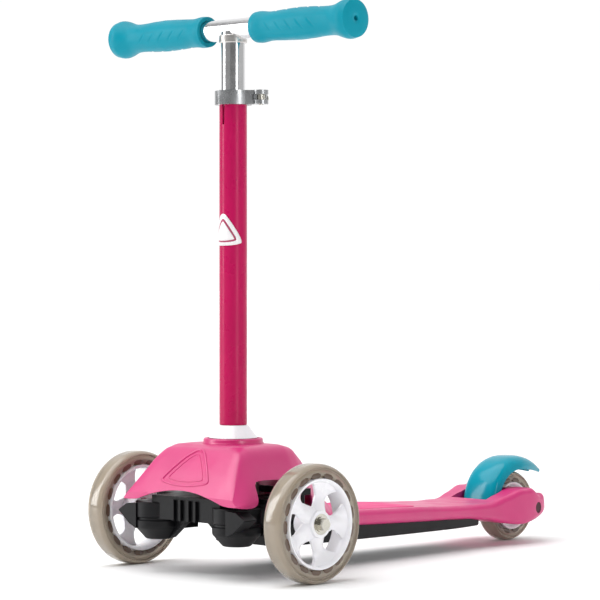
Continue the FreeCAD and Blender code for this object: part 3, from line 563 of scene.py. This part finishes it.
def front_cover():
    """The hollow cover over the steering, with its collar opening, wheel arches and front edge cut."""
    rows_y = [NOSE_Y + i * ROW_STEP for i in range(int((TAIL_Y - NOSE_Y) / ROW_STEP) + 1)]
    top, under = [], []
    for y in rows_y:
        for grid, inset in ((top, 0.0), (under, COVER_WALL)):
            half = cover_outline(y, inset)
            place = y + (inset if y == rows_y[0] else 0)
            line = [Vector((p.x * MM, FRONT_Y + place * MM, p.y * MM)) for p in half]
            line += [Vector((-p.x, p.y, p.z)) for p in reversed(line[:-1])]
            grid.append(line)
    verts, faces = solid_grid(top, under)
    made = piece("front_cover_moulded", verts, faces, PINK, "deck", ["front_cover"],
                 sharp=None)
    half_nose = cover_outline(rows_y[0])
    nose = [Vector((-p.x, p.y)) for p in half_nose] + list(reversed(half_nose[:-1]))
    back = [Vector((p.x * 0.96, LIP_FOOT_Z + (p.y - LIP_FOOT_Z) * 0.7)) for p in nose]
    front_grid = [Vector((p.x * MM, FRONT_Y + NOSE_Y * MM, p.y * MM)) for p in nose]
    rear_grid = [Vector((p.x * MM, FRONT_Y + LIP_BACK_Y * MM, p.y * MM)) for p in back]
    count = len(front_grid)
    lip_faces = [tuple(range(count)), tuple(reversed(range(count, 2 * count)))]
    lip_faces += [(i, (i + 1) % count, (i + 1) % count + count, i + count) for i in range(count)]
    lip = piece("front_cover_lip", front_grid + rear_grid, lip_faces, PINK, "deck",
                sharp=50)

    def tool(name, tool_verts, tool_faces):
        """A plain mesh to cut with."""
        mesh = bpy.data.meshes.new(name)
        mesh.from_pydata([tuple(v) for v in tool_verts], [], tool_faces)
        work = bmesh.new()
        work.from_mesh(mesh)
        bmesh.ops.recalc_face_normals(work, faces=work.faces)
        work.to_mesh(mesh)
        work.free()
        cutter = bpy.data.objects.new(name, mesh)
        bpy.context.scene.collection.objects.link(cutter)
        return cutter

    def prism(outline, axis, low, high):
        """Outline (a, b) swept along x, y or z."""
        orders = {"x": lambda a, b, t: (t, a, b), "y": lambda a, b, t: (a, t, b),
                  "z": lambda a, b, t: (a, b, t)}
        order = orders[axis]
        count = len(outline)
        points = [Vector(order(a, b, t)) for t in (low, high) for a, b in outline]
        sides = [(i, (i + 1) % count, (i + 1) % count + count, i + count) for i in range(count)]
        return points, sides + [tuple(range(count)), tuple(range(count, 2 * count))]

    cutters = []
    turns = [2 * math.pi * i / 96 for i in range(96)]
    circle = [(COLLAR_OPENING * math.cos(a), COLUMN.y + COLLAR_OPENING * math.sin(a)) for a in turns]
    cutters.append(tool("opening", *prism(circle, "z", 0.10, 0.16)))
    arch = chaikin([Vector((-46, 60)), Vector((-45, 74)), Vector((-33, 76)), Vector((-28.5, 84)),
                    Vector((-26.5, 97)), Vector((-19, 101)), Vector((40, 98.5)), Vector((52, 90)),
                    Vector((58, 70)), Vector((58, 40))], 2, closed=False)
    outline = [(FRONT_Y + p.x * MM, p.y * MM) for p in arch]
    for side in (-1, 1):
        cutters.append(tool("arch", *prism(outline, "x", side * 0.058, side * 0.12)))
    edge = [(x * MM, (88.5 - 11.5 * (x / 62.0) ** 2 if abs(x) < 62 else 77.0 - (abs(x) - 62) * 0.1) * MM)
            for x in range(-76, 77, 4)]
    edge += [(0.076, 0.04), (-0.076, 0.04)]
    cutters.append(tool("front_edge", *prism(edge, "y", FRONT_Y - 0.080, FRONT_Y - 0.030)))
    for target in (made, lip):
        for cutter in cutters:
            cut = target.modifiers.new("cut", "BOOLEAN")
            cut.object = cutter
            cut.operation = "DIFFERENCE"
            cut.solver = "EXACT"
        applied(target)
        target.data.set_sharp_from_angle(angle=math.radians(38))
    for cutter in cutters:
        bpy.data.objects.remove(cutter)
    return made


COVER_PIECE = front_cover()


def cover_ring():
    """Raised ring round the collar's opening."""
    profile = [(26.5, 130.6), (26.5, 137.8), (27.4, 138.7), (29.7, 138.7), (30.7, 137.6), (30.9, 134.5),
               (32.0, 133.2), (31.0, 132.2), (29, 131.5)]
    profile = chaikin([Vector(p) for p in profile], 1)
    count, segments = len(profile), 96
    verts, faces = [], []
    for i in range(segments):
        a = 2 * math.pi * i / segments
        verts += [Vector((p.x * MM * math.cos(a), COLUMN.y + p.x * MM * math.sin(a),
                          p.y * MM)) for p in profile]
        j = (i + 1) % segments
        faces += [(i * count + k, j * count + k, j * count + (k + 1) % count, i * count + (k + 1) % count)
                  for k in range(count)]
    return piece("cover_ring", verts, faces, PINK, "deck", sharp=None)


cover_ring()


def on_cover(x, along):
    """The point and normal of the cover's front slope, looked for from ahead and above."""
    graph = bpy.context.evaluated_depsgraph_get()
    tree = BVHTree.FromObject(COVER_PIECE, graph)
    aim = Vector((0, 0.62, -0.78)).normalized()
    up_slope = Vector((0, 0.78, 0.62)).normalized()
    start = Vector((x * MM, FRONT_Y - 0.0425, 0.1130)) + up_slope * along * MM - aim * 0.1
    point, normal, _, _ = tree.ray_cast(start, aim)
    return point, normal


def emblem_loop(name, corners, width, raised):
    """A low rounded bead that follows a closed outline on the slope of the cover."""
    sunk = 0.0003
    outline = chaikin([Vector(c) for c in corners], 4)
    hits = [on_cover(p.x, p.y) for p in outline]
    hits = [(point, normal) for point, normal in hits if point is not None]
    count = len(hits)
    verts, faces = [], []
    ring = 7
    for i, (point, normal) in enumerate(hits):
        ahead = (hits[(i + 1) % count][0] - hits[i - 1][0]).normalized()
        across = ahead.cross(normal).normalized()
        for k in range(ring):
            a = math.pi * k / (ring - 1)
            lift = raised * MM * math.sin(a) - sunk
            verts.append(point + across * width * MM * math.cos(a) + normal * lift)
        j = (i + 1) % count
        faces += [(i * ring + k, i * ring + (k + 1) % ring, j * ring + (k + 1) % ring, j * ring + k)
                  for k in range(ring)]
    return piece(name, verts, faces, PINK, "deck", sharp=None)


emblem_loop("emblem_outer", [(-33, -14), (-33, -18), (0, -22), (33, -18), (33, -14), (6, 21), (-6, 21)],
            1.7, 1.5)
emblem_loop("emblem_inner",
            [(-25, -12.5), (-24, -15), (0, -17.5), (24, -15), (25, -12.5), (3.5, 14.5), (-3.5, 14.5)],
            0.8, 1.0)


# ---- Rear fender ----------------------------------------------------------------------
# From the hinge to the tip, about the rear axle: back, up, half width, side depth.
FENDER = [(0.00, -53.0, 4.0, 24.0, 11.5), (0.08, -53.0, 10.0, 24.3, 12.0),
          (0.20, -50.0, 22.5, 24.5, 12.5), (0.32, -43.0, 36.0, 24.5, 13.0),
          (0.44, -31.5, 47.8, 24.3, 13.5), (0.56, -16.0, 56.0, 23.8, 14.5),
          (0.66, -0.5, 58.6, 23.0, 15.5), (0.76, 16.0, 57.2, 21.0, 15.5),
          (0.88, 38.0, 50.2, 15.5, 12.0), (1.00, 57.5, 38.6, 7.5, 4.4)]


FENDER_WALL = 3.2
TIP_ROWS, TIP_THINNING = 8, 1.8


def fender():
    """The foot brake: a curved guard that thins towards its tip."""
    rows, cols = 54, 25
    top, under = [], []
    path = []
    for i in range(rows):
        share = i / (rows - 1)
        near = [blend_rows(FENDER, min(1, max(0, share + d))) for d in (-0.06, -0.03, 0, 0.03, 0.06)]
        if i == 0:
            near = [blend_rows(FENDER, share)]
        path.append([sum(n[k] for n in near) / len(near) for k in range(4)])
    for i, (back, up, half, depth) in enumerate(path):
        before, after = path[max(0, i - 1)], path[min(rows - 1, i + 1)]
        ahead = Vector((after[0] - before[0], after[1] - before[1])).normalized()
        out = Vector((-ahead.y, ahead.x))
        wall = FENDER_WALL
        if i >= rows - TIP_ROWS:
            wall = FENDER_WALL - TIP_THINNING * (i - rows + TIP_ROWS) / TIP_ROWS
        line_top, line_under = [], []
        for j in range(cols):
            turn = math.pi * j / (cols - 1)
            across = math.cos(turn)
            x = half * math.copysign(abs(across) ** 0.62, across)
            drop = depth * (1 - max(0.0, math.sin(turn)) ** 0.75)
            inner_x = x * (half - wall) / half
            inner_drop = wall + (depth - wall) * (1 - max(0.0, math.sin(turn)) ** 0.75)
            for line, px, pd in ((line_top, x, drop), (line_under, inner_x, inner_drop)):
                y, z = REAR_Y + (back - out.x * pd) * MM, REAR_HUB.z + (up - out.y * pd) * MM
                line.append(Vector((px * MM, y, z)))
        top.append(line_top)
        under.append(line_under)
    verts, faces = solid_grid(top, under)
    return piece("fender_moulded", verts, faces, TURQUOISE, "rear_brake",
                 ["fender"], sharp=45)


fender()


# ---- Label ----------------------------------------------------------------------------
LABEL_SKIN = 0.00018


def label_piece(name, corners, finish, lift, replaced=()):
    """A thin rounded-triangle skin wrapped on the front of the column."""
    low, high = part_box("column_tube")
    radius = (high.x - low.x) / 2
    mid_z = centre("column_badge").z
    outline = chaikin([Vector(c) for c in corners], 4)
    rings = []
    for share in (1.0, 0.75, 0.5, 0.25, 0.02):
        rings.append([Vector((p.x * share, p.y * share)) for p in outline])
    count = len(outline)
    verts, faces = [], []
    for raised in (lift, lift - LABEL_SKIN):
        for ring in rings:
            for p in ring:
                angle = p.x * MM / radius
                r = radius + raised
                verts.append(Vector((r * math.sin(angle), COLUMN.y - r * math.cos(angle),
                                     mid_z + p.y * MM)))
    shift = count * len(rings)
    for k in range(len(rings) - 1):
        for i in range(count):
            j = (i + 1) % count
            a, b, c, d = k * count + i, k * count + j, (k + 1) * count + j, (k + 1) * count + i
            faces += [(a, b, c, d), (d + shift, c + shift, b + shift, a + shift)]
    last = (len(rings) - 1) * count
    faces.append(tuple(last + i for i in range(count)))
    faces.append(tuple(last + shift + i for i in reversed(range(count))))
    faces += [(i, i + shift, (i + 1) % count + shift, (i + 1) % count) for i in range(count)]
    return piece(name, verts, faces, finish, "column", replaced, sharp=None)


label_piece("label_face",
            [(-21, -10), (-20, -14.5), (0, -16.5), (20, -14.5), (21, -10), (5, 15), (0, 17.5), (-5, 15)],
            LABEL, 0.0004, ["column_badge"])
label_piece("label_border",
            [(-15, -8.5), (-14, -11.5), (0, -13), (14, -11.5), (15, -8.5), (3, 10), (0, 12), (-3, 10)],
            LABEL_LINE, 0.00055)
label_piece("label_inside", [(-12.6, -8.2), (-12, -9.9), (0, -11.2), (12, -9.9), (12.6, -8.2),
                             (2.2, 7.6), (0, 9.2), (-2.2, 7.6)], LABEL, 0.0007)
